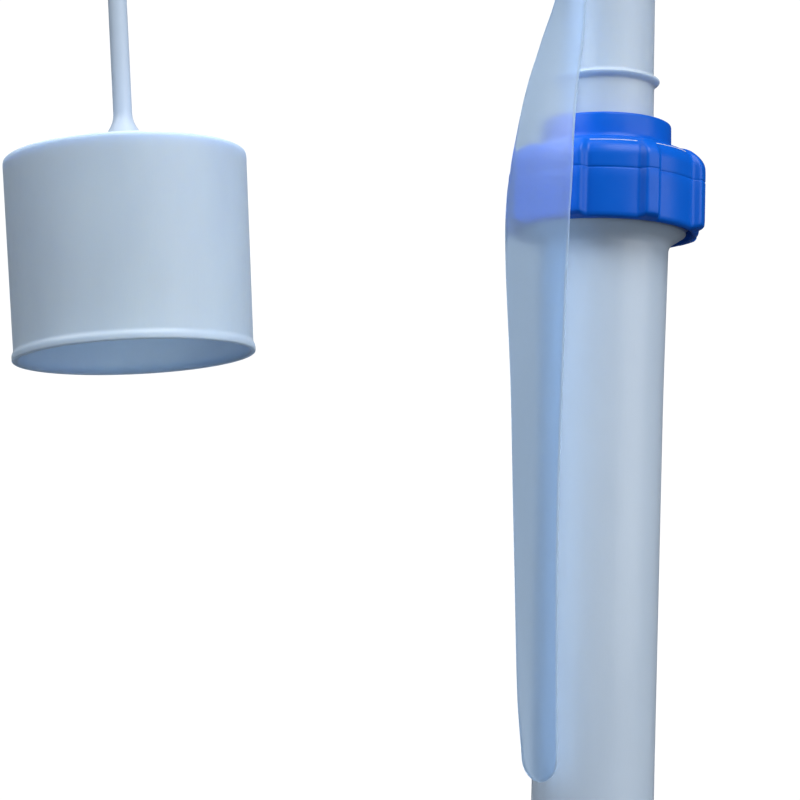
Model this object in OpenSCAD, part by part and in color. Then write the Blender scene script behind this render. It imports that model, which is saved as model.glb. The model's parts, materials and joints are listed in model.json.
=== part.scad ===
// Ward urine bottle: a standing bottle, a long neck tube, a union nut, a spout tube with a
// wide mouth, a hanging rail tongue, and a cap that hangs from a round strap.
// The tube axis is Z and the bottle stands on Z = 0. The cap hangs on the -X side.

/* [Bottle] */
// Outer radius of the bottle's round body
bottle_r = 52.5; // [48:0.5:56]
// Height where the bottle's straight wall ends
body_h = 126; // [110:1:130]
// Wall of the blow-moulded bottle
bottle_wall = 1.6; // [1.2:0.1:2.4]
// Radius of the rounded shoulder
shoulder_r = 22; // [18:1:24]
// Lower end of the spill guard inside the bottle
guard_end = 76; // [60:1:100]

/* [Tubes] */
// Outer radius of the long neck tube
neck_r = 15.3; // [14.6:0.1:15.4]
// Wall of the neck tube
neck_wall = 1.8; // [1.4:0.1:2]
// Outer radius of the spout tube above its bead
spout_r = 11; // [10.6:0.1:11]
// Bore radius of the spout tube
spout_bore_r = 9.5; // [9:0.1:9.7]
// Height of the stop bead on the spout tube
bead_z = 383; // [380:0.2:384]

/* [Nuts] */
// Lower edge of the base nut
base_nut_z = 155; // [155:0.5:158]
// Lower edge of the union nut
union_nut_z = 344; // [342:0.5:346]
// Radius over the nut's grip ribs
rib_tip_r = 25.2; // [24.8:0.1:25.2]
// Radius of the nut's skirt between the ribs
skirt_r = 23.2; // [23:0.1:23.6]
// Number of grip ribs
rib_count = 8; // [6:1:10]
// Direction of the first grip rib
rib_turn = 27; // [0:1:44]
// Height of the nut's ribbed skirt
skirt_h = 18.3; // [18:0.1:19]
// Height of the whole nut
nut_h = 27.7; // [27:0.1:29]

/* [Mouth] */
// Outer radius of the wide mouth, which the cap slides over
mouth_r = 28.4; // [28:0.1:28.4]
// Wall of the mouth
mouth_wall = 1.6; // [1.2:0.1:2]
// Height of the mouth's rim
mouth_top = 494; // [490:1:496]

/* [Cap and strap] */
// Outer radius of the cap
cap_r = 30; // [30:0.1:30.4]
// Depth of the cap
cap_h = 50; // [50:0.5:54]
// Wall of the cap
cap_wall = 1.3; // [1.1:0.1:1.3]
// Sideways distance from the tube to the cap's top
cap_x = -119.4; // [-122:0.1:-112]
// Height of the cap's top as it hangs
cap_z = 359.7; // [356:0.1:364]
// Lean of the hanging cap
cap_lean = 5.2; // [3:0.1:7]
// Radius of the round strap
strap_r = 2.35; // [2:0.05:2.5]

/* [Rail tongue] */
// Direction of the tongue round the tube
tongue_turn = 229; // [225:1:233]
// Thickness of the tongue
tongue_t = 1; // [0.8:0.1:1]

/* [Hidden] */

$fn = 96;
milky = [0.72, 0.79, 0.86];
blue = [0.0, 0.36, 0.80];
soft_grey = [0.62, 0.66, 0.70];

// Clearances: between faces of different bodies, in a turning fit, and under a slip ring
gap = 0.3;
fit = 0.07;
face_gap = 0.05;

// The stack inside each nut, counted up from the nut's lower edge
finish_h = 12.4;
seal_h = 2;
insert_h = 1.2;
flange_h = 3;
flange_z = finish_h + seal_h + insert_h;
ceiling_h = flange_z + flange_h + 0.95;
stack_r = 20.4;
seal_bore_r = 17;
nut_cavity_r = 21.5;
thread_r = 21.2;
thread_pitch = 3;

neck_bore_r = neck_r - neck_wall;
head_z = union_nut_z + 0.4;
head_top = union_nut_z + finish_h;
cone_z = head_z - 3.5;
spout_low_r = spout_r + 0.35;
spout_top = 428;
collar_z = 408;
collar_h = 7;
ring_z = collar_z + collar_h + gap;
ring_h = 5;
socket_z = ring_z + ring_h + gap;
flare_z = spout_top;
wide_z = flare_z + 14;

neck_out = 20;
foot_round = 6;
bottle_top = base_nut_z + finish_h;
shoulder_stop = 70;

// Strap: a straight root, a long low bend, a tight bend and a straight drop. The headings
// are angles in the XZ plane from +X, and the last one hangs down with the cap's lean.
strap_root = [-18, 418];
root_run = 10;
head_a = 150;
head_b = 205;
head_c = 270 + cap_lean;
tight_r = 22;
strap_sides = 16;
cap_neck_h = 4;
drop_end = [cap_x - cap_neck_h * sin(cap_lean), cap_z + cap_neck_h * cos(cap_lean)];

function aim(a) = [cos(a), sin(a)];
function side(a) = [sin(a), -cos(a)];
function run_of(a, b) = side(b) - side(a);
// The long bend's radius and the drop's length close the path on the cap
path_need = drop_end - strap_root - root_run * aim(head_a) - tight_r * run_of(head_b, head_c);
path_u = run_of(head_a, head_b);
path_v = aim(head_c);
path_det = path_u[0] * path_v[1] - path_u[1] * path_v[0];
long_r = (path_need[0] * path_v[1] - path_need[1] * path_v[0]) / path_det;
bend_a = strap_root + root_run * aim(head_a);
bend_b = bend_a + long_r * run_of(head_a, head_b);
// Half the space that a strap joint leaves between two domed ends, and its angle on each bend
end_back = strap_r + 0.25;
long_trim = end_back / long_r * 180 / PI;
tight_trim = end_back / tight_r * 180 / PI;

// Tongue: height, distance of its middle from the tube axis, and half its width
tongue_line = [[409.6, 15.4, 4.2], [402.6, 16.3, 4.9], [390, 19.3, 7.1], [378, 22.6, 8.5],
               [370, 24.9, 9.2], [365, 25.9, 9.6], [353, 26.0, 10.2], [343, 26.0, 10.2],
               [328, 25.6, 9.4], [304, 25.0, 8.2], [279, 24.2, 7.3], [254, 23.1, 6.8],
               [230, 21.8, 6.3], [214, 20.6, 5.6], [210, 20.2, 3.4]];

function arc(c, r, a, b, n) = [for (i = [0:n]) c + r * aim(a + (b - a) * i / n)];
function mirrored(pts) = concat(pts, [for (i = [len(pts) - 1:-1:0]) [-pts[i][0], pts[i][1]]]);

// Outline of half a bottle, from the middle of its floor to the lip, inset by w
function bottle_side(w) =
    let (r = bottle_r - w, c = foot_round - w, s = shoulder_r - w,
         end = [bottle_r - shoulder_r, body_h] + s * aim(shoulder_stop),
         lip_r = neck_out - w,
         fall = (end[0] - lip_r) / tan(shoulder_stop))
    concat([[0, w]],
           arc([r - c, c + w], c, -90, 0, 8),
           arc([bottle_r - shoulder_r, body_h], s, 0, shoulder_stop, 14),
           [[lip_r, end[1] + fall]]);

module ring(r_in, r_out, z, h) {
    translate([0, 0, z])
        difference() {
            cylinder(r = r_out, h = h);
            translate([0, 0, -1]) cylinder(r = r_in, h = h + 2);
        }
}

// Outside thread as plain rings, one pitch apart, with their flanks at 45 degrees
module thread_rings(root_r, z, turns) {
    depth = thread_r - root_r;
    for (i = [0:turns - 1])
        translate([0, 0, z + i * thread_pitch])
            rotate_extrude()
                polygon([[root_r - 0.5, -0.4 - depth], [root_r, -0.4 - depth], [thread_r, -0.4],
                         [thread_r, 0.4], [root_r, 0.4 + depth], [root_r - 0.5, 0.4 + depth]]);
}

// Ribbed ring nut with a collar, standing on z
module ring_nut(z, bore_r, collar_r) {
    rib_round = 6.9;
    color(blue)
        translate([0, 0, z])
            difference() {
                union() {
                    rotate_extrude()
                        polygon([[0, 0], [skirt_r - 0.5, 0], [skirt_r, 0.5],
                                 [skirt_r, skirt_h - 1], [skirt_r - 1.4, skirt_h + 2],
                                 [skirt_r - 2.4, skirt_h + 3], [collar_r + 0.8, nut_h - 5.4],
                                 [collar_r + 0.5, nut_h - 5], [collar_r, nut_h - 0.4],
                                 [collar_r - 0.4, nut_h], [0, nut_h]]);
                    intersection() {
                        rotate_extrude()
                            polygon([[0, 0], [rib_tip_r - 1.3, 0], [rib_tip_r, 3],
                                     [rib_tip_r - 0.3, skirt_h - 2.6],
                                     [rib_tip_r - 0.8, skirt_h], [rib_tip_r - 3, skirt_h + 2],
                                     [rib_tip_r - 4.2, skirt_h + 3], [0, skirt_h + 3]]);
                        for (i = [0:rib_count - 1])
                            rotate(rib_turn - 90 + i * 360 / rib_count)
                                translate([rib_tip_r - rib_round, 0, 0])
                                    cylinder(r = rib_round, h = nut_h);
                    }
                }
                translate([0, 0, -1]) cylinder(r = nut_cavity_r, h = ceiling_h + 1);
                cylinder(r = bore_r, h = nut_h + 1);
            }
}

module bottle() {
    color(milky) {
        difference() {
            rotate_extrude()
                polygon(concat(bottle_side(0), [[neck_out, bottle_top], [0, bottle_top]]));
            rotate_extrude()
                polygon(concat(bottle_side(bottle_wall),
                               [[neck_out - bottle_wall, bottle_top + 1], [0, bottle_top + 1]]));
        }
        thread_rings(neck_out, base_nut_z + 4, 3);
    }
}

module spill_guard() {
    guard_r = spout_r;
    color(milky)
        difference() {
            union() {
                translate([0, 0, bottle_top]) cylinder(r = stack_r, h = insert_h);
                translate([0, 0, guard_end]) cylinder(r = guard_r, h = bottle_top - guard_end);
            }
            translate([0, 0, guard_end - 1])
                cylinder(r = guard_r - insert_h, h = bottle_top - guard_end + insert_h + 2);
        }
}

module base_gasket() {
    color(soft_grey) ring(neck_bore_r, stack_r, bottle_top + insert_h, seal_h);
}

module neck_tube() {
    low_z = base_nut_z + flange_z;
    color(milky)
        difference() {
            union() {
                rotate_extrude()
                    polygon([[0, low_z], [stack_r, low_z], [stack_r, low_z + flange_h],
                             [neck_r, low_z + flange_h], [neck_r, cone_z],
                             [neck_r + 1.2, cone_z + 1], [20, head_z - 0.4], [20, head_top],
                             [0, head_top]]);
                thread_rings(20, union_nut_z + 3, 3);
            }
            translate([0, 0, low_z - 1])
                cylinder(r = neck_bore_r, h = head_top - low_z + 2);
            translate([0, 0, head_z]) cylinder(r = seal_bore_r, h = finish_h + 1);
        }
}

module slip_ring(nut_z, bore_r) {
    color("whitesmoke")
        ring(bore_r, nut_cavity_r - fit, nut_z + flange_z + flange_h + face_gap,
             ceiling_h - flange_z - flange_h - 2 * face_gap);
}

module base_slip_ring() slip_ring(base_nut_z, neck_r + fit);

module base_nut() ring_nut(base_nut_z, neck_r + gap, 19.6);

module union_seal() {
    color(soft_grey) ring(seal_bore_r, stack_r, head_top, seal_h);
}

// Flap valve: a plate with a round port, and two ears that hold the flap's pin
port_r = 8;
flap_r = 9.6;
flap_t = 1.2;
pin_y = 11.8;
pin_r = 0.6;
ear_x = 4.2;
ear_t = 1.4;
seat_z = union_nut_z + finish_h + seal_h;
pin_z = seat_z - 1.7;

module valve_seat() {
    color(milky) {
        ring(port_r, stack_r, seat_z, insert_h);
        for (s = [-1, 1])
            difference() {
                translate([s * (ear_x + ear_t / 2) - ear_t / 2, pin_y - 1.5, pin_z - 1.5])
                    cube([ear_t, 3, seat_z - pin_z + 1.5]);
                translate([s * (ear_x + ear_t / 2) - ear_t, pin_y, pin_z])
                    rotate([0, 90, 0]) cylinder(r = pin_r, h = 2 * ear_t);
            }
    }
}

module valve_pin() {
    pin_half = ear_x + ear_t;
    color("silver")
        translate([-pin_half, pin_y, pin_z]) rotate([0, 90, 0])
            cylinder(r = pin_r, h = 2 * pin_half);
}

module valve_flap() {
    barrel_half = ear_x - gap;
    color(soft_grey)
        difference() {
            union() {
                translate([0, 0, seat_z - gap - flap_t]) cylinder(r = flap_r, h = flap_t);
                translate([-barrel_half, flap_r - 2, seat_z - gap - flap_t])
                    cube([2 * barrel_half, pin_y - flap_r + 2, flap_t]);
                translate([-barrel_half, pin_y, pin_z]) rotate([0, 90, 0])
                    cylinder(r = 1.3, h = 2 * barrel_half);
            }
            translate([-barrel_half - 1, pin_y, pin_z]) rotate([0, 90, 0])
                cylinder(r = pin_r + fit, h = 2 * barrel_half + 2);
        }
}

module spout_tube() {
    low_z = union_nut_z + flange_z;
    color(milky)
        difference() {
            rotate_extrude()
                polygon([[0, low_z], [stack_r, low_z], [stack_r, low_z + flange_h],
                         [spout_low_r, low_z + flange_h], [spout_low_r, bead_z - 1.2],
                         [spout_low_r + 0.9, bead_z], [spout_r, bead_z + 1],
                         [spout_r, spout_top], [0, spout_top]]);
            translate([0, 0, low_z - 1])
                cylinder(r = spout_bore_r, h = spout_top - low_z + 2);
        }
}

module union_slip_ring() slip_ring(union_nut_z, spout_low_r + fit);

module union_nut() ring_nut(union_nut_z, spout_low_r + gap, 15.9);

module tongue_collar() {
    lug_half = 5;
    color(milky)
        difference() {
            union() {
                translate([0, 0, collar_z]) cylinder(r = 14.4, h = collar_h);
                rotate(tongue_turn)
                    translate([0, -lug_half, collar_z + 2])
                        cube([16, 2 * lug_half, collar_h - 2]);
            }
            translate([0, 0, collar_z - 1]) cylinder(r = spout_r, h = collar_h + 2);
        }
}

module rail_tongue() {
    n = len(tongue_line);
    inner = [for (i = [0:n - 1]) [tongue_line[i][1] - tongue_t / 2, tongue_line[i][0]]];
    outer = [for (i = [n - 1:-1:0]) [tongue_line[i][1] + tongue_t / 2, tongue_line[i][0]]];
    edge = [for (p = tongue_line) [p[2], p[0]]];
    color(milky)
        rotate(tongue_turn)
            intersection() {
                translate([0, 15, 0]) rotate([90, 0, 0]) linear_extrude(30)
                    polygon(concat(inner, outer));
                rotate([90, 0, 90]) linear_extrude(40) polygon(mirrored(edge));
            }
}

module mouth_cup() {
    in_r = mouth_r - mouth_wall;
    socket_r = 13.4;
    color(milky)
        rotate_extrude()
            polygon([[spout_r, socket_z], [socket_r, socket_z], [socket_r, flare_z - 1],
                     [socket_r + 1, flare_z + 0.6], [mouth_r - 1.5, wide_z - 2],
                     [mouth_r, wide_z], [mouth_r, mouth_top - 0.5], [mouth_r - 0.5, mouth_top],
                     [in_r + 0.5, mouth_top], [in_r, mouth_top - 0.5], [in_r, wide_z + 1],
                     [in_r - 1.2, wide_z - 0.8], [spout_bore_r, flare_z + 1],
                     [spout_bore_r, flare_z], [spout_r, flare_z]]);
}

module strap_ring() {
    boss_x = strap_root[0] + strap_r + gap;
    boss_r = 14.2;
    color(milky)
        difference() {
            union() {
                translate([0, 0, ring_z]) cylinder(r = boss_r, h = ring_h);
                intersection() {
                    translate([boss_x, 0, strap_root[1]]) rotate([0, 90, 0])
                        cylinder(r = strap_r + 0.15, h = 6);
                    translate([-30, -10, ring_z]) cube([30, 20, ring_h]);
                }
            }
            translate([0, 0, ring_z - 1]) cylinder(r = spout_r + fit, h = ring_h + 2);
        }
}

// The strap is swept through stations, each a point in the XZ plane, a heading and a radius
function bend_stations(p, r, a, b, n) =
    [for (i = [0:n]) let (h = a + (b - a) * i / n) [p + r * run_of(a, h), h, strap_r]];
function dome_in(p, a) =
    [for (t = [80:-20:20]) [p - strap_r * sin(t) * aim(a), a, strap_r * cos(t)]];
function dome_out(p, a) =
    [for (t = [20:20:80]) [p + strap_r * sin(t) * aim(a), a, strap_r * cos(t)]];
function ring_points(s) =
    [for (i = [0:strap_sides - 1])
        let (t = i * 360 / strap_sides, q = s[0] - s[2] * cos(t) * side(s[1]))
            [q[0], s[2] * sin(t), q[1]]];

module swept_strap(stations) {
    n = strap_sides;
    last = (len(stations) - 1) * n;
    walls = [for (k = [0:len(stations) - 2], i = [0:n - 1])
                let (a = k * n + i, b = k * n + (i + 1) % n)
                    each [[a, b, b + n], [a, b + n, a + n]]];
    low_end = [for (i = [1:n - 2]) [0, i + 1, i]];
    high_end = [for (i = [1:n - 2]) [last, last + i, last + i + 1]];
    polyhedron([for (s = stations) each ring_points(s)], concat(walls, low_end, high_end));
}

module strap_arm() {
    start = strap_root + 0.6 * aim(head_a);
    head_end = head_b - long_trim;
    stations = concat(dome_in(start, head_a), [[start, head_a, strap_r]],
                      bend_stations(bend_a, long_r, head_a, head_end, 24),
                      dome_out(bend_a + long_r * run_of(head_a, head_end), head_end));
    color(milky) swept_strap(stations);
}

module strap_drop() {
    head_start = head_b + tight_trim;
    start = bend_b + tight_r * run_of(head_b, head_start);
    stop = drop_end - end_back * aim(head_c);
    stations = concat(dome_in(start, head_start),
                      bend_stations(start, tight_r, head_start, head_c, 16),
                      [[stop, head_c, strap_r]], dome_out(stop, head_c));
    color(milky) swept_strap(stations);
}

// Places a piece of the cap: its top is at 0 and its mouth points down
module hang_cap() {
    translate([cap_x, 0, cap_z]) rotate([0, -cap_lean, 0]) children();
}

module cap() {
    in_r = cap_r - cap_wall;
    bead = 0.75;
    neck_top = cap_neck_h - strap_r - 0.25;
    color(milky)
        hang_cap()
            rotate_extrude()
                polygon([[0, neck_top], [strap_r - 0.6, neck_top], [strap_r, neck_top - 0.6],
                         [3, 0.5], [4.2, 0], [cap_r - 1.2, 0], [cap_r - 0.35, -0.35],
                         [cap_r, -1.2], [cap_r, 2.9 - cap_h], [cap_r + bead, 2.5 - cap_h],
                         [cap_r + bead, 0.3 - cap_h], [cap_r + bead - 0.3, -cap_h],
                         [in_r + 0.3, -cap_h], [in_r, 0.6 - cap_h], [in_r, -2.4],
                         [in_r - 0.8, -1.6], [0, -1.6]]);
}

module cap_seal() {
    seal_out = cap_r - cap_wall - 0.9;
    color(soft_grey) hang_cap() ring(seal_out - 4, seal_out, -3.4, 1.8);
}

bottle();
spill_guard();
base_gasket();
neck_tube();
base_slip_ring();
base_nut();
union_seal();
valve_seat();
valve_pin();
valve_flap();
spout_tube();
union_slip_ring();
union_nut();
tongue_collar();
rail_tongue();
mouth_cup();
strap_ring();
strap_arm();
strap_drop();
cap();
cap_seal();
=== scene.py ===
"""Looks of the ward urine bottle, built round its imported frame. Lengths are in metres."""
import json
import math

import bmesh
import bpy
import numpy as np
from mathutils import Euler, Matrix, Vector


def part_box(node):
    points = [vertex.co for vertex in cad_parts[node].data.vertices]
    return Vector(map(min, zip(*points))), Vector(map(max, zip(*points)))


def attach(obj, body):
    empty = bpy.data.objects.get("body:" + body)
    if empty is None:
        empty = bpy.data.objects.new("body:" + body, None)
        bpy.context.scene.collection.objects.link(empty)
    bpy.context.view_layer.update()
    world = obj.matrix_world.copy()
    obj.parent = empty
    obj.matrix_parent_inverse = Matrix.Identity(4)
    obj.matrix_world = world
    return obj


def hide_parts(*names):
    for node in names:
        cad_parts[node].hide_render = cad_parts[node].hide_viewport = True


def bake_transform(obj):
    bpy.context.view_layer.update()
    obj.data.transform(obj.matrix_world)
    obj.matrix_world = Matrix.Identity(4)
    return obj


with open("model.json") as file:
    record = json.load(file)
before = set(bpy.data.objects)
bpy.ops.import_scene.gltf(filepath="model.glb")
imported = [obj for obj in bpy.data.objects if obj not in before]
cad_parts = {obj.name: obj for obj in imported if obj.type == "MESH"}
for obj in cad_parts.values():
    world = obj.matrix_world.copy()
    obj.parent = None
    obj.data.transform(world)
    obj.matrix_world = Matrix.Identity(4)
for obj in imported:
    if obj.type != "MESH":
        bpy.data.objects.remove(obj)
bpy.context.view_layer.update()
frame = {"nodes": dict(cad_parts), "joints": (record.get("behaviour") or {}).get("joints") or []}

MM = 0.001
scene = bpy.context.scene


# ---------------------------------------------------------------- places, from the frame
def low(node):
    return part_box(node)[0]


def high(node):
    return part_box(node)[1]


JOINTS = {joint["name"]: joint for joint in frame["joints"]}
BASE_NUT_Z = low("base_nut").z
UNION_NUT_Z = low("union_nut").z
BOTTLE_R = high("bottle").x
BOTTLE_TOP = high("bottle").z
MOUTH_TOP = high("mouth_cup").z
MOUTH_LOW = low("mouth_cup").z
CAP_PIVOT = Vector(JOINTS["cap_swing"]["pos_m"])
STRAP_ROOT = Vector(JOINTS["strap_flex"]["pos_m"])
STRAP_KNEE = Vector(JOINTS["strap_bend"]["pos_m"])
TONGUE_ROOT = Vector(JOINTS["tongue_flex"]["pos_m"])
TONGUE_TURN = math.atan2(TONGUE_ROOT.y, TONGUE_ROOT.x)


# ---------------------------------------------------------------- mesh building
def mesh_piece(name, points, faces, material, capped=False):
    """A mesh object from points and faces. A capped piece keeps every point and has flat end
    faces; any other has its doubled points merged and is smooth all over."""
    mesh = bpy.data.meshes.new(name)
    mesh.from_pydata(points.reshape(-1, 3).tolist(), [], faces if capped else faces.tolist())
    mesh.validate()
    piece = bpy.data.objects.new(name, mesh)
    scene.collection.objects.link(piece)
    work = bmesh.new()
    work.from_mesh(mesh)
    if not capped:
        bmesh.ops.remove_doubles(work, verts=work.verts, dist=1e-6)
        bmesh.ops.dissolve_degenerate(work, dist=1e-7, edges=work.edges)
    bmesh.ops.recalc_face_normals(work, faces=work.faces)
    for face in work.faces:
        face.smooth = not capped or len(face.verts) == 4
    work.to_mesh(mesh)
    work.free()
    mesh.materials.append(material)
    return piece


def grid_faces(rows, columns, close_rows, close_columns):
    """Quads between neighbours of a rows by columns grid; either way round may close on itself."""
    last_row = rows if close_rows else rows - 1
    last_column = columns if close_columns else columns - 1
    i, j = np.meshgrid(np.arange(last_row), np.arange(last_column), indexing="ij")
    below, right = (i + 1) % rows, (j + 1) % columns
    quads = np.stack([i * columns + j, i * columns + right, below * columns + right,
                      below * columns + j], axis=-1)
    return quads.reshape(-1, 4)


def rounded(corners, radius, steps=5):
    """A closed outline whose corners are arcs. Each corner is cut back by the radius, or by 0.45
    of its shorter side, and the arc between is a quadratic curve with the corner as its handle."""
    corners = np.asarray(corners, float)
    radius = np.broadcast_to(np.asarray(radius, float), len(corners))
    before = np.roll(corners, 1, axis=0) - corners
    after = np.roll(corners, -1, axis=0) - corners
    len_a = np.linalg.norm(before, axis=1)
    len_b = np.linalg.norm(after, axis=1)
    cut = np.minimum(radius, 0.45 * np.minimum(len_a, len_b))
    start = corners + before / len_a[:, None] * cut[:, None]
    stop = corners + after / len_b[:, None] * cut[:, None]
    t = np.linspace(0, 1, steps)[None, :, None]
    curve = ((1 - t) ** 2 * start[:, None] + 2 * t * (1 - t) * corners[:, None]
             + t ** 2 * stop[:, None])
    return curve.reshape(-1, 2)


def turned(outline, turns, swell=None):
    """Surface of revolution: the point at outline place k and angle a is (r cos a, r sin a, z).
    swell(r, z, a), where given, returns the radius to use instead of r."""
    r = np.repeat(outline[:, 0][:, None], len(turns), axis=1)
    z = np.repeat(outline[:, 1][:, None], len(turns), axis=1)
    a = np.repeat(turns[None, :], len(outline), axis=0)
    if swell is not None:
        r = swell(r, z, a)
    return np.stack([r * np.cos(a), r * np.sin(a), z], axis=-1)


def round_turn(sides):
    """Even angles over a whole turn."""
    return np.linspace(0, 2 * math.pi, sides, endpoint=False)


def lathe(name, outline, material, sides, swell=None):
    """A closed ring of section outline, turned round Z."""
    turns = round_turn(sides)
    points = turned(np.asarray(outline), turns, swell)
    faces = grid_faces(points.shape[0], points.shape[1], True, True)
    return mesh_piece(name, points, faces, material)


def smooth_line(stations, at):
    """Monotone cubic through the rows of stations (place, value, value ...), read at places at."""
    stations = np.asarray(stations, float)
    x, columns = stations[:, 0], stations[:, 1:]
    h = np.diff(x)[:, None]
    slope = np.diff(columns, axis=0) / h
    inner = np.where(slope[:-1] * slope[1:] > 0,
                     2 * slope[:-1] * slope[1:] / (slope[:-1] + slope[1:] + 1e-30), 0)
    tangent = np.vstack([slope[:1], inner, slope[-1:]])
    k = np.clip(np.searchsorted(x, at, side="right") - 1, 0, len(x) - 2)
    t = ((at - x[k]) / (x[k + 1] - x[k]))[:, None]
    y0, y1, m0, m1, w = columns[k], columns[k + 1], tangent[k], tangent[k + 1], h[k]
    return ((2 * t ** 3 - 3 * t ** 2 + 1) * y0 + (t ** 3 - 2 * t ** 2 + t) * w * m0
            + (3 * t ** 2 - 2 * t ** 3) * y1 + (t ** 3 - t ** 2) * w * m1)


# ---------------------------------------------------------------- materials
def new_material(name):
    material = bpy.data.materials.new(name)
    material.use_nodes = True
    nodes, links = material.node_tree.nodes, material.node_tree.links
    shader = nodes["Principled BSDF"]
    place = nodes.new("ShaderNodeTexCoord")
    return material, nodes, links, shader, place


def noise(nodes, links, place, scale, detail=3.0, stretch=(1, 1, 1)):
    """Noise on the piece's own coordinates, squeezed along an axis where stretch is under 1."""
    mapping = nodes.new("ShaderNodeMapping")
    mapping.inputs["Scale"].default_value = stretch
    links.new(place.outputs["Object"], mapping.inputs["Vector"])
    texture = nodes.new("ShaderNodeTexNoise")
    texture.inputs["Scale"].default_value = scale
    texture.inputs["Detail"].default_value = detail
    links.new(mapping.outputs["Vector"], texture.inputs["Vector"])
    return texture.outputs["Fac"]


def ramp(nodes, links, value, dark, light):
    """Colour that goes from dark to light as value goes from 0.3 to 0.7."""
    colours = nodes.new("ShaderNodeValToRGB")
    colours.color_ramp.elements[0].position = 0.3
    colours.color_ramp.elements[1].position = 0.7
    colours.color_ramp.elements[0].color = (*dark, 1)
    colours.color_ramp.elements[1].color = (*light, 1)
    links.new(value, colours.inputs["Fac"])
    return colours.outputs["Color"]


def spread(nodes, links, value, lowest, highest):
    """value from 0.3 to 0.7 becomes lowest to highest."""
    mapped = nodes.new("ShaderNodeMapRange")
    mapped.inputs["From Min"].default_value = 0.3
    mapped.inputs["From Max"].default_value = 0.7
    mapped.inputs["To Min"].default_value = lowest
    mapped.inputs["To Max"].default_value = highest
    links.new(value, mapped.inputs["Value"])
    return mapped.outputs["Result"]


def bumped(nodes, links, shader, layers):
    """Chains bump layers of (height output, distance in metres, strength) into the shader."""
    normal = None
    for height, distance, strength in layers:
        bump = nodes.new("ShaderNodeBump")
        bump.inputs["Distance"].default_value = distance
        bump.inputs["Strength"].default_value = strength
        links.new(height, bump.inputs["Height"])
        if normal is not None:
            links.new(normal, bump.inputs["Normal"])
        normal = bump.outputs["Normal"]
    links.new(normal, shader.inputs["Normal"])


def milky_plastic(name, dark, light, roughness=0.42, scatter=0.35, reach=0.0022):
    """Milky polyethylene: cloudy colour drift along the flow, a soft gloss, fine drawn lines."""
    material, nodes, links, shader, place = new_material(name)
    cloud = noise(nodes, links, place, 38, 4, (1, 1, 0.35))
    links.new(ramp(nodes, links, cloud, dark, light), shader.inputs["Base Color"])
    grain = noise(nodes, links, place, 900, 2, (1, 1, 0.25))
    links.new(spread(nodes, links, grain, roughness - 0.05, roughness + 0.06),
              shader.inputs["Roughness"])
    wave = noise(nodes, links, place, 55, 2, (1, 1, 0.4))
    bumped(nodes, links, shader, [(wave, 0.0006, 0.35), (grain, 0.00004, 0.5)])
    shader.inputs["IOR"].default_value = 1.5
    shader.inputs["Specular IOR Level"].default_value = 0.45
    shader.inputs["Subsurface Weight"].default_value = scatter
    shader.inputs["Subsurface Radius"].default_value = (1.0, 1.1, 1.3)
    shader.inputs["Subsurface Scale"].default_value = reach
    return material


def blue_plastic(name):
    """Injection-moulded polypropylene: deep even blue, semi-gloss, with a faint sparkle."""
    material, nodes, links, shader, place = new_material(name)
    drift = noise(nodes, links, place, 60, 3)
    links.new(ramp(nodes, links, drift, (0.0, 0.086, 0.50), (0.0, 0.096, 0.54)),
              shader.inputs["Base Color"])
    grain = noise(nodes, links, place, 700, 2)
    links.new(spread(nodes, links, grain, 0.30, 0.37), shader.inputs["Roughness"])
    sink = noise(nodes, links, place, 120, 2)
    bumped(nodes, links, shader, [(sink, 0.0002, 0.25), (grain, 0.00001, 0.4)])
    shader.inputs["IOR"].default_value = 1.49
    shader.inputs["Specular IOR Level"].default_value = 0.2
    return material


def tongue_film(name):
    """Thin see-through polyethylene: rough clear body under a pale blue haze with drawn lines."""
    material, nodes, links, shader, place = new_material(name)
    haze = noise(nodes, links, place, 45, 4, (1, 1, 0.12))
    links.new(ramp(nodes, links, haze, (0.48, 0.63, 0.81), (0.53, 0.68, 0.86)),
              shader.inputs["Base Color"])
    lines = noise(nodes, links, place, 500, 3, (1, 1, 0.03))
    bumped(nodes, links, shader, [(haze, 0.0004, 0.3), (lines, 0.00005, 0.5)])
    shader.inputs["Roughness"].default_value = 0.28
    shader.inputs["IOR"].default_value = 1.3
    shader.inputs["Transmission Weight"].default_value = 0.85
    return material


def plain_finish(name, dark, light, low_rough, high_rough, metal=0.0, scale=700):
    """An even small part: slight colour drift, speckled roughness and a fine surface grain."""
    material, nodes, links, shader, place = new_material(name)
    grain = noise(nodes, links, place, scale, 3)
    links.new(ramp(nodes, links, grain, dark, light), shader.inputs["Base Color"])
    links.new(spread(nodes, links, grain, low_rough, high_rough), shader.inputs["Roughness"])
    bumped(nodes, links, shader, [(grain, 0.00004, 0.6)])
    shader.inputs["Metallic"].default_value = metal
    return material


CAP_MILK = milky_plastic("cap_milk", (0.42, 0.53, 0.73), (0.475, 0.60, 0.81), 0.45, 0.9, 0.004)
TUBE_MILK = milky_plastic("tube_milk", (0.41, 0.50, 0.62), (0.455, 0.55, 0.67), 0.36, 0.2, 0.003)
SPOUT_MILK = milky_plastic("spout_milk", (0.37, 0.45, 0.57), (0.42, 0.51, 0.63), 0.4, 0.8, 0.004)
BODY_MILK = milky_plastic("body_milk", (0.42, 0.50, 0.60), (0.48, 0.57, 0.67), 0.38, 0.8, 0.004)
STRAP_MILK = milky_plastic("strap_milk", (0.39, 0.48, 0.59), (0.43, 0.52, 0.64), 0.45, 0.0)
INNER_MILK = milky_plastic("inner_milk", (0.45, 0.54, 0.62), (0.5, 0.6, 0.68), 0.4, 0.3)
TONGUE_FILM = tongue_film("tongue_film")
NUT_BLUE = blue_plastic("nut_blue")
MARK_BLUE = plain_finish("mark_blue", (0.05, 0.16, 0.42), (0.07, 0.19, 0.48), 0.4, 0.55)
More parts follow.
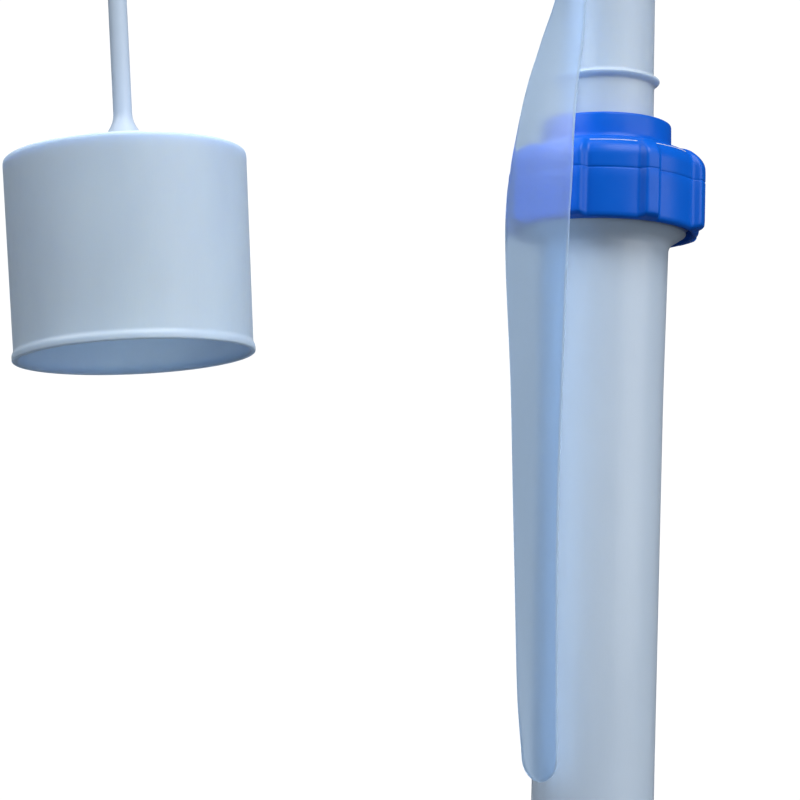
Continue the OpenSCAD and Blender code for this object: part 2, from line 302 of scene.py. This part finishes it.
SEAL_RUBBER = plain_finish("seal_rubber", (0.30, 0.33, 0.36), (0.36, 0.39, 0.42), 0.6, 0.75)
SLIP_WHITE = plain_finish("slip_white", (0.72, 0.72, 0.70), (0.78, 0.78, 0.76), 0.3, 0.4)
PIN_STEEL = plain_finish("pin_steel", (0.55, 0.55, 0.57), (0.65, 0.65, 0.67), 0.2, 0.35, 1.0)


# ---------------------------------------------------------------- ring nuts
RIBS = 8
RIB_TURN = math.radians(22.6 - 90)
RIB_HALF = math.radians(6.6)
RIB_CREST = math.radians(4.0)


def rib_height(a):
    """0 between ribs and 1 on a rib's crest. The flank is a straight ramp between the rib's foot
    and its crest, and averaging it over nearby angles rounds both ends."""
    pitch = 2 * math.pi / RIBS
    total = np.zeros_like(a)
    offsets = np.radians(np.linspace(-0.8, 0.8, 9))
    for offset in offsets:
        away = np.abs((a + offset - RIB_TURN + pitch / 2) % pitch - pitch / 2)
        total += np.clip((RIB_HALF - away) / (RIB_HALF - RIB_CREST), 0, 1)
    return total / len(offsets)


# Nut outline from its lower edge up: height, radius between the ribs, radius on a rib, in mm
NUT_SIDE = [[0.0, 22.1, 22.4], [0.3, 22.7, 23.3], [0.8, 23.05, 24.5], [1.6, 23.2, 25.1],
            [3.1, 23.2, 25.2], [12.0, 23.2, 25.2], [12.2, 23.11, 25.11], [12.45, 23.11, 25.11],
            [12.65, 23.2, 25.2], [14.9, 23.2, 25.18], [15.9, 23.17, 25.1], [16.7, 23.05, 24.9],
            [17.5, 22.8, 24.5], [18.3, 22.4, 23.9], [19.1, 21.7, 23.1], [19.9, 20.8, 22.0],
            [20.45, 19.6, 20.6], [20.7, 18.6, 19.0]]


NUT_H = 27.7
NUT_CAVITY_R, NUT_CEILING_Z = 21.5, 19.6


def nut_outline(collar_r, bore_r):
    """Section of a nut in mm: columns are radius between ribs, radius on a rib, and height."""
    side = np.array(NUT_SIDE)
    fine = np.concatenate([np.linspace(a, b, 4, endpoint=False)
                           for a, b in zip(side[:-1, 0], side[1:, 0])] + [side[-1:, 0]])
    skirt = smooth_line(side, fine)
    outer = np.column_stack([np.maximum(skirt, collar_r + 0.6), fine])
    step = collar_r + 0.45
    top = rounded([[min(step + 1.6, 18.9), 21.05], [step, 21.35], [collar_r + 0.1, 22.4],
                   [collar_r, NUT_H], [bore_r, NUT_H], [bore_r, NUT_CEILING_Z],
                   [NUT_CAVITY_R, NUT_CEILING_Z - 0.6], [NUT_CAVITY_R, 0.0]],
                  [0.5, 0.6, 0.6, 0.7, 0.3, 0.2, 0.3, 0.3])
    plain = np.column_stack([top[:, 0], top[:, 0], top[:, 1]])
    return np.vstack([outer, plain])


def ring_nut(name, z, collar_r, bore_r, body, node):
    """Ribbed nut: its radius is the radius between ribs plus rib_height times the rib's rise."""
    outline = nut_outline(collar_r, bore_r)
    a = round_turn(384)
    rise = rib_height(a)[None, :]
    r = (outline[:, 0:1] + (outline[:, 1:2] - outline[:, 0:1]) * rise) * MM
    points = np.stack([r * np.cos(a), r * np.sin(a),
                       np.repeat(outline[:, 2:3] * MM + z, len(a), axis=1)], axis=-1)
    nut = mesh_piece(name, points, grid_faces(len(outline), len(a), True, True), NUT_BLUE)
    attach(nut, body)
    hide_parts(node)


ring_nut("union_nut_body", UNION_NUT_Z, 15.9, 11.65, "union_nut", "union_nut")
ring_nut("base_nut_body", BASE_NUT_Z, 19.6, 15.6, "base_nut", "base_nut")


# ---------------------------------------------------------------- tubes
def finish_piece(piece, body, slot, *nodes):
    """Says what the piece rides on, and hides the CAD nodes that it stands for. slot, the name of
    its finish, is not used.
    """
    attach(piece, body)
    if nodes:
        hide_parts(*nodes)
    return piece


THREAD_R, THREAD_PITCH, THREAD_RINGS = 21.2, 3, 3


def thread_outline(root_r, lowest):
    """Outline of the thread rings, one every pitch up, from root_r out to the thread's radius."""
    points = []
    for i in range(THREAD_RINGS):
        z = lowest + THREAD_PITCH * i
        points += [[root_r, z - 1.6], [THREAD_R, z - 0.4], [THREAD_R, z + 0.4],
                   [root_r, z + 1.6 - 0.2]]
    return points


def neck_tube():
    """Turned tube: a foot flange, a slow taper, and a flared head with the union's thread."""
    low_z = low("neck_tube").z / MM
    head = UNION_NUT_Z / MM
    outline = ([[13.5, low_z], [20.4, low_z], [20.4, low_z + 3], [14.8, low_z + 3],
                [14.7, 207.0], [15.15, head - 40], [15.75, head - 3.4], [16.5, head - 2.0],
                [19.0, head - 0.3], [20.0, head + 0.3]]
               + thread_outline(20.0, head + 3)
               + [[20.0, head + 12.4], [17.0, head + 12.4], [17.0, head + 0.4],
                  [13.5, head + 0.4]])
    radii = [0.3] * len(outline)
    radii[3:9] = [1.2, 20.0, 9.0, 2.0, 1.2, 0.4]
    return lathe("neck_tube_wall", rounded(outline, radii) * MM, TUBE_MILK, 192)


finish_piece(neck_tube(), "main", "milky_tube", "neck_tube")


def spout_tube():
    """Turned tube: a foot flange, then one stop bead, and a slightly thinner upper length."""
    low_z = low("spout_tube").z / MM
    bead = 383.0
    top = high("spout_tube").z / MM
    outline = [[9.5, low_z], [20.4, low_z], [20.4, low_z + 3], [11.5, low_z + 3],
               [11.5, bead - 1.5], [12.85, bead - 0.3], [12.85, bead + 0.1], [11.35, bead + 0.9],
               [11.3, bead + 20], [11.0, top], [9.5, top]]
    radii = [0.2, 0.3, 0.3, 0.8, 0.35, 0.25, 0.25, 0.5, 5.0, 0.2, 0.2]
    return lathe("spout_wall", rounded(outline, radii) * MM, SPOUT_MILK, 160)


finish_piece(spout_tube(), "main", "milky_spout", "spout_tube")


def mouth_cup():
    """Turned cup: a socket on the spout, a cone up from flare to wide, and a straight mouth."""
    low_z, top = MOUTH_LOW / MM, MOUTH_TOP / MM
    flare = 428.0
    wide = flare + 14
    outline = [[11.0, low_z], [13.4, low_z], [13.4, flare - 0.8], [14.6, flare + 0.8],
               [26.9, wide - 2.0], [28.4, wide], [28.4, top - 2.6], [28.4, top - 0.4],
               [28.0, top], [27.2, top], [26.8, top - 0.5], [26.8, wide + 1.0],
               [25.6, wide - 0.8], [9.5, flare + 1.0], [9.5, flare], [11.0, flare]]
    radii = [0.3, 0.6, 2.0, 2.5, 2.5, 3.0, 0.5, 0.4, 0.35, 0.35, 0.4, 3.0, 2.5, 1.5, 0.2, 0.2]
    return lathe("mouth_wall", rounded(outline, radii, 8) * MM, BODY_MILK, 224)


finish_piece(mouth_cup(), "main", "milky_body", "mouth_cup")


# ---------------------------------------------------------------- bottle
SEAM_TURNS = np.radians([0.0, 180.0])
SEAM_RISE, SEAM_WIDTH = 0.12, 0.16
BOTTLE_WALL = 1.6
WRAP_R, FILLED_R = 52.5, 50.9


def bottle_turns():
    """Angles round the bottle, closer together beside its two mould seams."""
    near = np.radians(np.array([-0.5, -0.32, -0.22, -0.14, -0.07, 0, 0.07, 0.14, 0.22, 0.32, 0.5]))
    even = round_turn(200)
    clear = np.ones(len(even), bool)
    for seam in SEAM_TURNS:
        away = np.abs((even - seam + math.pi) % (2 * math.pi) - math.pi)
        clear &= away > math.radians(0.7)
    extra = np.concatenate([(seam + near) % (2 * math.pi) for seam in SEAM_TURNS])
    return np.sort(np.concatenate([even[clear], extra]))


def bottle_shell():
    """Turned shell whose outer radius rises 0.12 mm in a narrow bell at each mould seam. Its side
    is a foot arc, a straight wall, a shoulder arc of 70 degrees and a cone up to the neck."""
    body_h, shoulder, foot, wall = 126.0, 22.0, 6.0, BOTTLE_WALL
    lip, top = 20.0, BOTTLE_TOP / MM
    big = BOTTLE_R / MM

    def side(inset):
        r, s, f = big - inset, shoulder - inset, foot - inset
        a = np.radians(np.linspace(-90, 0, 9))
        corner = np.column_stack([r - f + f * np.cos(a), inset + f + f * np.sin(a)])
        b = np.radians(np.linspace(0, 70, 17))
        dome = np.column_stack([big - shoulder + s * np.cos(b), body_h + s * np.sin(b)])
        fall = (dome[-1, 0] - (lip - inset)) / math.tan(math.radians(70))
        heights = np.linspace(foot, body_h, 24)[1:-1]
        wall_line = np.column_stack([np.full(len(heights), r), heights])
        root = [lip - inset, dome[-1, 1] + fall]
        return np.vstack([corner, wall_line, dome, [root]])

    outer = side(0.0)
    neck = np.array([[lip, BASE_NUT_Z / MM + 1.0]]
                    + thread_outline(lip, BASE_NUT_Z / MM + 4) + [[lip, top]])
    inner = side(wall)[::-1]
    outline = np.vstack([[[0, 0]], outer, neck, [[lip - wall, top]], inner, [[0, wall]]])

    def swell(r, z, a):
        bell = np.zeros_like(a)
        for seam in SEAM_TURNS:
            away = np.degrees(np.abs((a - seam + math.pi) % (2 * math.pi) - math.pi))
            bell += np.exp(-(away / SEAM_WIDTH) ** 2)
        outside = np.zeros(len(outline))
        outside[1:1 + len(outer)] = 1
        return r + SEAM_RISE * MM * bell * outside[:, None] * (r > 6 * MM)

    points = turned(outline * MM, bottle_turns(), swell)
    faces = grid_faces(points.shape[0], points.shape[1], False, True)
    return mesh_piece("bottle_shell", points, faces, BODY_MILK)


finish_piece(bottle_shell(), "main", "milky_body", "bottle")


def volume_height(millilitres):
    """Height in mm that a volume reaches in the bottle: volume over the inner circle's area."""
    return BOTTLE_WALL + millilitres * 1000 / (math.pi * FILLED_R ** 2)


def wrapped(flat, rise):
    """Lays flat points (along, up) in mm on the bottle's front: angle is along over radius."""
    r = BOTTLE_R + rise * MM
    a = flat[..., 0] / WRAP_R - math.pi / 2
    return np.stack([r * np.cos(a), r * np.sin(a), flat[..., 1] * MM], axis=-1)


def graduation_bars():
    """Raised bars: each is a 9 by 3 patch wrapped 0.09 mm out, then thickened into the wall."""
    points, faces = [], []
    for step in range(1, 21):
        z = volume_height(step * 50)
        width, tall = (15.0, 0.8) if step % 2 == 0 else (8.5, 0.55)
        x = np.linspace(-width / 2, width / 2, 9)
        grid_x, grid_z = np.meshgrid(x - 9.0 + width / 2, [z - tall / 2, z, z + tall / 2],
                                     indexing="ij")
        top = wrapped(np.stack([grid_x, grid_z], axis=-1), 0.09)
        count = sum(len(part) for part in points)
        points.append(top.reshape(-1, 3))
        faces.append(grid_faces(9, 3, False, False) + count)
    plate = mesh_piece("graduation_bars", np.concatenate(points), np.concatenate(faces), MARK_BLUE)
    thick = plate.modifiers.new("thickness", "SOLIDIFY")
    thick.thickness = 0.12 * MM
    thick.offset = -1.0
    return plate


finish_piece(graduation_bars(), "main", "milky_body")


def graduation_number(label, z, along=9.5):
    """A number lettered flat in mm, then wrapped onto the bottle by the same angle rule."""
    lettering = bpy.data.curves.new("number_" + label, "FONT")
    lettering.body = label
    lettering.size = 5.2
    lettering.align_y = "CENTER"
    lettering.extrude = 0.06
    shown = bpy.data.objects.new("number_" + label, lettering)
    scene.collection.objects.link(shown)
    bpy.context.view_layer.update()
    mesh = bpy.data.meshes.new_from_object(shown.evaluated_get(
        bpy.context.evaluated_depsgraph_get()))
    bpy.data.objects.remove(shown)
    co = np.zeros(len(mesh.vertices) * 3)
    mesh.vertices.foreach_get("co", co)
    co = co.reshape(-1, 3)
    flat = np.column_stack([co[:, 0] + along, co[:, 1] + z])
    placed = wrapped(flat, co[:, 2] + 0.03)
    mesh.vertices.foreach_set("co", placed.ravel())
    mesh.materials.clear()
    mesh.materials.append(MARK_BLUE)
    number = bpy.data.objects.new("number_" + label, mesh)
    scene.collection.objects.link(number)
    return finish_piece(number, "main", "milky_body")


for hundred in range(1, 11):
    graduation_number(str(hundred * 100), volume_height(hundred * 100))
graduation_number("ml", volume_height(1000) + 8.0, -6.0)


# ---------------------------------------------------------------- rings on the spout
def near_turn(a, turn, half, soft):
    """1 within half of the angle turn, falling smoothly to 0 over the next soft radians."""
    away = np.abs((a - turn + math.pi) % (2 * math.pi) - math.pi)
    t = np.clip((half + soft - away) / soft, 0, 1)
    return t * t * (3 - 2 * t)


def divided(outline, count):
    """The closed outline with each side cut into count equal lengths."""
    return np.concatenate([np.linspace(a, b, count, endpoint=False)
                           for a, b in zip(outline, np.roll(outline, -1, axis=0))])


def tongue_collar():
    """Turned band with a lug on the tongue's side."""
    z = low("tongue_collar").z / MM
    outline = rounded([[11.0, z], [14.4, z], [14.4, z + 7], [11.0, z + 7]], [0.2, 0.5, 0.5, 0.2])

    def lug(r, zz, a):
        """The lug: outer radii grow to 16.2 mm above the collar's lowest 1.6 mm."""
        up = np.clip((zz / MM - z - 0.8) / 1.4, 0, 1)
        return r + 1.8 * MM * near_turn(a, TONGUE_TURN, 0.26, 0.12) * up * (r > 12 * MM)

    return lathe("tongue_collar_ring", divided(outline, 6) * MM, TUBE_MILK, 288, lug)


finish_piece(tongue_collar(), "main", "milky_tongue", "tongue_collar")


def strap_ring():
    """Turned band with a boss where the strap springs from it."""
    z = low("strap_ring").z / MM
    outline = rounded([[11.1, z], [14.2, z], [14.2, z + 5], [11.1, z + 5]], [0.3, 0.6, 0.6, 0.3])

    def boss(r, zz, a):
        """The boss under the strap: a smooth rise of 1.4 mm towards the strap's side."""
        return r + 1.4 * MM * near_turn(a, math.pi, 0.10, 0.16) * (r > 12 * MM)

    return lathe("strap_ring_band", divided(outline, 5) * MM, STRAP_MILK, 288, boss)


finish_piece(strap_ring(), "strap_ring", "milky_strap", "strap_ring")


# ---------------------------------------------------------------- strap
CAP_LEAN = math.radians(5.2)
STRAP_R = 2.35
KNEE_R = 22.0
ROOT_RUN, ROOT_INSIDE = 10, 2.4
BEND_REACH = 9.0
HEAD_A, HEAD_B, HEAD_C = math.radians(150), math.radians(205), math.radians(270) + CAP_LEAN


def arc_points(start, radius, head_from, head_to, step):
    """Points of a left-hand bend: the centre lies a radius to the left of the first heading."""
    count = max(2, int(abs(head_to - head_from) * radius / step))
    head = np.linspace(head_from, head_to, count + 1)[1:]
    centre = np.array(start) + radius * np.array([-math.sin(head_from), math.cos(head_from)])
    return centre + radius * np.column_stack([np.sin(head), -np.cos(head)])


def line_points(start, stop, step):
    """Points of a straight line after its start, about a step apart."""
    count = max(1, int(np.linalg.norm(np.subtract(stop, start)) / step))
    t = np.linspace(0, 1, count + 1)[1:, None]
    return np.array(start) * (1 - t) + np.array(stop) * t


def strap_route():
    """The strap's centre line in mm, in the XZ plane: straight, long bend, tight bend, drop."""
    root = np.array([STRAP_ROOT.x, STRAP_ROOT.z]) / MM
    knee = np.array([STRAP_KNEE.x, STRAP_KNEE.z]) / MM
    end = np.array([CAP_PIVOT.x, CAP_PIVOT.z]) / MM
    first = root + ROOT_RUN * np.array([math.cos(HEAD_A), math.sin(HEAD_A)])
    chord = np.linalg.norm(knee - first)
    long_r = chord / (2 * math.sin((HEAD_B - HEAD_A) / 2))
    start = root - ROOT_INSIDE * np.array([math.cos(HEAD_A), math.sin(HEAD_A)])
    points = [start[None, :], line_points(start, first, 1.0)]
    points.append(arc_points(first, long_r, HEAD_A, HEAD_B, 1.2))
    points.append(arc_points(knee, KNEE_R, HEAD_B, HEAD_C, 0.9))
    points.append(line_points(points[-1][-1], end, 1.0))
    return np.vstack(points)


ROUTE = strap_route()
ALONG = np.concatenate([[0], np.cumsum(np.linalg.norm(np.diff(ROUTE, axis=0), axis=1))])
KNEE_ALONG = ALONG[np.argmin(np.linalg.norm(ROUTE - np.array([STRAP_KNEE.x, STRAP_KNEE.z]) / MM,
                                            axis=1))]


# Distance before the cap's pivot and the strap's radius there, in mm
STRAP_FLARE = [[0, 5.2], [1.2, 4.7], [2.4, 4.15], [3.6, 3.4], [4.8, 2.8], [6.0, 2.47],
               [7.2, STRAP_R], [BEND_REACH, STRAP_R]]


def strap_grid(sides=40):
    """Circles across the route: centre plus radius times (cos a side + sin a Y). The radius
    flares where the strap meets the cap."""
    radius = smooth_line(STRAP_FLARE, np.minimum(ALONG[-1] - ALONG, BEND_REACH))
    ahead = np.gradient(ROUTE, ALONG, axis=0)
    ahead /= np.linalg.norm(ahead, axis=1)[:, None]
    side = np.column_stack([-ahead[:, 1], ahead[:, 0]])
    a = round_turn(sides)
    x = ROUTE[:, 0:1] + radius * np.cos(a) * side[:, 0:1]
    z = ROUTE[:, 1:2] + radius * np.cos(a) * side[:, 1:2]
    y = radius * np.sin(a)[None, :]
    return np.stack([x, y, z], axis=-1) * MM


STRAP_GRID = strap_grid()


def strap_length(name, begin, stop):
    """The stretch of the strap between two places along it, closed at both ends by a point."""
    rows = np.flatnonzero((ALONG >= begin - 1e-6) & (ALONG <= stop + 1e-6))
    grid = STRAP_GRID[rows[0]:rows[-1] + 1]
    sides = grid.shape[1]
    ends = np.stack([grid[0].mean(axis=0), grid[-1].mean(axis=0)])
    count = grid.shape[0] * sides
    around = np.arange(sides)
    following = (around + 1) % sides
    last = count - sides
    caps = np.concatenate([
        np.column_stack([np.full(sides, count), following, around]),
        np.column_stack([np.full(sides, count + 1), last + around, last + following])])
    points = np.vstack([grid.reshape(-1, 3), ends])
    walls = grid_faces(grid.shape[0], sides, False, True)
    piece = mesh_piece(name, points, walls.tolist() + caps.tolist(), STRAP_MILK, capped=True)
    return piece


def snapped(along):
    """The nearest station of the route, so that neighbouring stretches share a circle."""
    return ALONG[np.argmin(np.abs(ALONG - along))]


KNEE_IN, KNEE_OUT = snapped(KNEE_ALONG - BEND_REACH), snapped(KNEE_ALONG + BEND_REACH)
strap_run = strap_length("strap_run", 0.0, KNEE_IN)
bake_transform(strap_run)
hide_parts("strap_arm")
strap_knee = strap_length("strap_knee", KNEE_IN, KNEE_OUT)
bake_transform(strap_knee)
strap_fall = strap_length("strap_fall", KNEE_OUT, ALONG[-1])
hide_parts("strap_drop")
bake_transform(strap_fall)


# ---------------------------------------------------------------- cap
def hung(points):
    """Leans the cap's own points by the cap's lean and hangs them from its pivot, which stands
    4 mm over the cap's top."""
    c, s = math.cos(CAP_LEAN), math.sin(CAP_LEAN)
    x, y, z = points[..., 0], points[..., 1], points[..., 2] - 4 * MM
    return np.stack([CAP_PIVOT.x + x * c - z * s, CAP_PIVOT.y + y, CAP_PIVOT.z + x * s + z * c],
                    axis=-1)


def cap_shell():
    """Turned cap, mouth down: a low root for the strap on top, a rounded shoulder, a slightly
    tapered side and a rim bead."""
    r, low_r, h, wall, bead = 30.1, 29.4, 50.0, 1.3, 0.45
    strap_root = [[5.2, 4.1], [5.5, 3.7], [6.1, 2.7], [7.0, 1.6], [8.4, 0.75],
                  [10.2, 0.25], [12.5, 0.03]]
    corners = [[12.5, 0.03], [r - 0.2, -0.1], [r, -0.9], [low_r, 2.4 - h],
               [low_r + bead, 1.5 - h], [low_r + bead, -h], [low_r - 0.8 * wall, -h],
               [r - wall, -1.9], [3.0, -1.6]]
    radii = [0.5, 0.6, 0.6, 0.8, 0.5, 0.4, 0.4, 1.2, 0.3]
    body = rounded(corners, radii, 7)[7:]
    outline = np.vstack([[[0, 4.1]], strap_root, body, [[0, -1.6]]]) * MM
    points = hung(turned(outline, round_turn(224)))
    return mesh_piece("cap_shell", points, grid_faces(len(outline), 224, False, True), CAP_MILK)


finish_piece(cap_shell(), "cap", "milky_cap", "cap")


# ---------------------------------------------------------------- tongue
# Height, distance of the middle from the axis, half width and shift sideways, in mm
TONGUE_LINE = [[210.0, 20.25, 5.0, -0.6], [215, 20.7, 5.2, -0.6], [230, 21.9, 5.9, -0.8],
               [254, 23.15, 6.3, -0.9], [279, 24.3, 6.9, -0.9], [304, 25.0, 7.8, -0.9],
               [326, 25.9, 8.9, -1.0], [336, 26.35, 9.45, -0.85], [343, 26.45, 9.7, -0.8],
               [350, 26.5, 9.75, -0.5], [358, 26.2, 9.35, -0.05], [365, 25.3, 8.8, 0.0],
               [378, 22.4, 7.8, -0.3], [390, 19.0, 6.5, -0.2],
               [402.6, 16.2, 4.4, 0], [408, 15.5, 4.1, 0], [411.5, 15.1, 4.1, 0]]


TIP_Z, TOP_Z, TIP_RUN = 210.0, 411.5, 5.4
HALF_THICK, TONGUE_BOW = 0.5, 0.35


def tongue_sheet():
    """A thin strip: at height z its middle stands rho(z) from the axis, and its section is a
    rounded slot w(z) to each side and 0.5 mm to each face. w closes as a half ellipse at the
    tip, and both faces bow outwards by 0.35 mm towards the middle."""
    near_tip = TIP_Z + TIP_RUN * (1 - np.cos(np.linspace(0, math.pi / 2, 14)))
    z = np.concatenate([near_tip, np.linspace(TIP_Z + TIP_RUN, TOP_Z, 130)[1:]])
    rho, half, aside = smooth_line(TONGUE_LINE, z).T
    close = np.sqrt(np.clip(1 - (1 - np.clip((z - TIP_Z) / TIP_RUN, 0, 1)) ** 2, 0, 1))
    half = half * np.maximum(close, 0.02)
    flat = np.linspace(-1, 1, 21)
    bend = np.radians(np.linspace(-90, 90, 7))[1:-1]
    across = np.concatenate([flat, np.ones(5), -flat, -np.ones(5)])
    bulge = np.concatenate([np.zeros(21), np.cos(bend), np.zeros(21), np.cos(bend)])
    sign = np.concatenate([np.zeros(21), np.ones(5), np.zeros(21), -np.ones(5)])
    out = np.concatenate([np.full(21, -1.0), np.sin(bend), np.full(21, 1.0), -np.sin(bend)])
    inset = np.minimum(half, HALF_THICK)
    y = across[None, :] * (half - inset)[:, None] + (sign * bulge)[None, :] * inset[:, None]
    y = y + aside[:, None]
    bow = TONGUE_BOW * (1 - across ** 2)
    x = rho[:, None] + HALF_THICK * out[None, :] + bow[None, :] - TONGUE_BOW
    c, s = math.cos(TONGUE_TURN), math.sin(TONGUE_TURN)
    points = np.stack([x * c - y * s, x * s + y * c, np.repeat(z[:, None], x.shape[1], axis=1)],
                      axis=-1) * MM
    rows, columns = points.shape[:2]
    faces = grid_faces(rows, columns, False, True).tolist()
    faces.append(list(range(columns))[::-1])
    faces.append([(rows - 1) * columns + k for k in range(columns)])
    return mesh_piece("tongue_sheet", points, faces, TONGUE_FILM, capped=True)


tongue = tongue_sheet()
tongue.visible_shadow = False
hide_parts("rail_tongue")
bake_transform(tongue)


# ---------------------------------------------------------------- finishes of the inner pieces
FINISHES = {
    "spill_guard": INNER_MILK, "valve_seat": INNER_MILK, "base_gasket": SEAL_RUBBER,
    "union_seal": SEAL_RUBBER, "valve_flap": SEAL_RUBBER, "cap_seal": SEAL_RUBBER,
    "base_slip_ring": SLIP_WHITE, "union_slip_ring": SLIP_WHITE, "valve_pin": PIN_STEEL,
}
for node, finish in FINISHES.items():
    piece = frame["nodes"][node]
    if not piece.material_slots:
        piece.data.materials.append(finish)
    for socket in piece.material_slots:
        socket.material = finish


# ---------------------------------------------------------------- floor, light and camera
def floor_disc():
    """A flat disc on z = 0: rings of growing radius round the middle. It glows more the farther
    out it is, so that it fades into the white behind it as a studio sweep does."""
    radius = np.concatenate([[0.0], np.linspace(0.5, 5.0, 10)])
    a = round_turn(96)
    x = radius[:, None] * np.cos(a)
    y = radius[:, None] * np.sin(a)
    points = np.stack([x, y, np.zeros_like(x)], axis=-1)
    finish = plain_finish("floor_paper", (0.56, 0.57, 0.58), (0.60, 0.61, 0.62), 0.6, 0.75,
                          scale=40)
    nodes, links = finish.node_tree.nodes, finish.node_tree.links
    shader = nodes["Principled BSDF"]
    place = nodes.new("ShaderNodeTexCoord")
    away = nodes.new("ShaderNodeVectorMath")
    away.operation = "LENGTH"
    fade = nodes.new("ShaderNodeMapRange")
    fade.interpolation_type = "SMOOTHSTEP"
    fade.inputs["From Min"].default_value = 0.35
    fade.inputs["From Max"].default_value = 1.4
    shader.inputs["Emission Color"].default_value = (1, 1, 1, 1)
    links.new(place.outputs["Object"], away.inputs[0])
    links.new(away.outputs["Value"], fade.inputs["Value"])
    links.new(fade.outputs["Result"], shader.inputs["Emission Strength"])
    return mesh_piece("floor_disc", points, grid_faces(len(radius), 96, False, True), finish)


floor = floor_disc()
floor.visible_diffuse = False
floor.visible_glossy = False


def soft_light(name, place, aim, size, power):
    """A rectangular soft box at place, facing the point aim."""
    lamp = bpy.data.lights.new(name, "AREA")
    lamp.shape = "RECTANGLE"
    lamp.size, lamp.size_y = size
    lamp.energy = power
    box = bpy.data.objects.new(name, lamp)
    box.location = place
    direction = Vector(aim) - Vector(place)
    box.rotation_euler = direction.to_track_quat("-Z", "Y").to_euler()
    scene.collection.objects.link(box)
    return box


MIDDLE = (0, 0, 0.33)
soft_light("key", (0.36, -0.78, 1.40), MIDDLE, (1.0, 0.8), 19)
soft_light("side", (1.05, -0.72, 0.60), MIDDLE, (1.25, 0.7), 8)
soft_light("top", (-0.2, 0.2, 1.75), MIDDLE, (0.9, 0.9), 11)
soft_light("left", (-1.1, -0.55, 1.2), MIDDLE, (0.8, 0.7), 10)
back = soft_light("back", (-0.25, 1.2, 0.42), MIDDLE, (1.2, 1.0), 14)
back.visible_transmission = False
back.visible_glossy = False


PALE, WHITE = (0.97, 0.985, 1, 1), (1, 1, 1, 1)


def backdrop(nodes, colour, strength):
    """An even background of one colour."""
    light = nodes.new("ShaderNodeBackground")
    light.inputs["Color"].default_value = colour
    light.inputs["Strength"].default_value = strength
    return light.outputs[0]


def chosen(nodes, links, test, otherwise, when_true):
    """The second background where the ray passes the test, and the first where it doesn't."""
    mix = nodes.new("ShaderNodeMixShader")
    links.new(test, mix.inputs["Fac"])
    links.new(otherwise, mix.inputs[1])
    links.new(when_true, mix.inputs[2])
    return mix.outputs[0]


def studio_world():
    """White to the camera and paler through clear plastic, dim on surfaces and in reflections."""
    world = bpy.data.worlds.new("studio")
    scene.world = world
    world.use_nodes = True
    nodes, links = world.node_tree.nodes, world.node_tree.links
    nodes.clear()
    out = nodes.new("ShaderNodeOutputWorld")
    ray = nodes.new("ShaderNodeLightPath").outputs
    even = backdrop(nodes, PALE, 0.15)
    mirrored = backdrop(nodes, PALE, 0.04)
    through = backdrop(nodes, PALE, 0.46)
    seen = backdrop(nodes, WHITE, 1.05)
    unseen = chosen(nodes, links, ray["Is Glossy Ray"], even, mirrored)
    unseen = chosen(nodes, links, ray["Is Transmission Ray"], unseen, through)
    links.new(chosen(nodes, links, ray["Is Camera Ray"], unseen, seen), out.inputs["Surface"])


studio_world()
scene.view_settings.view_transform = "Standard"

lens = bpy.data.cameras.new("camera")
lens.lens = 118.4
lens.sensor_width = 36.0
lens.clip_start = 0.01
camera = bpy.data.objects.new("camera", lens)
camera.location = (-0.0493, -0.64, 0.2198)
TILT_UP, ROLL = math.radians(7.27), math.radians(1.80)
turn = (Euler((math.pi / 2 + TILT_UP, 0, 0)).to_matrix()
        @ Euler((0, 0, ROLL)).to_matrix())
camera.rotation_euler = turn.to_euler()
scene.collection.objects.link(camera)
scene.camera = camera
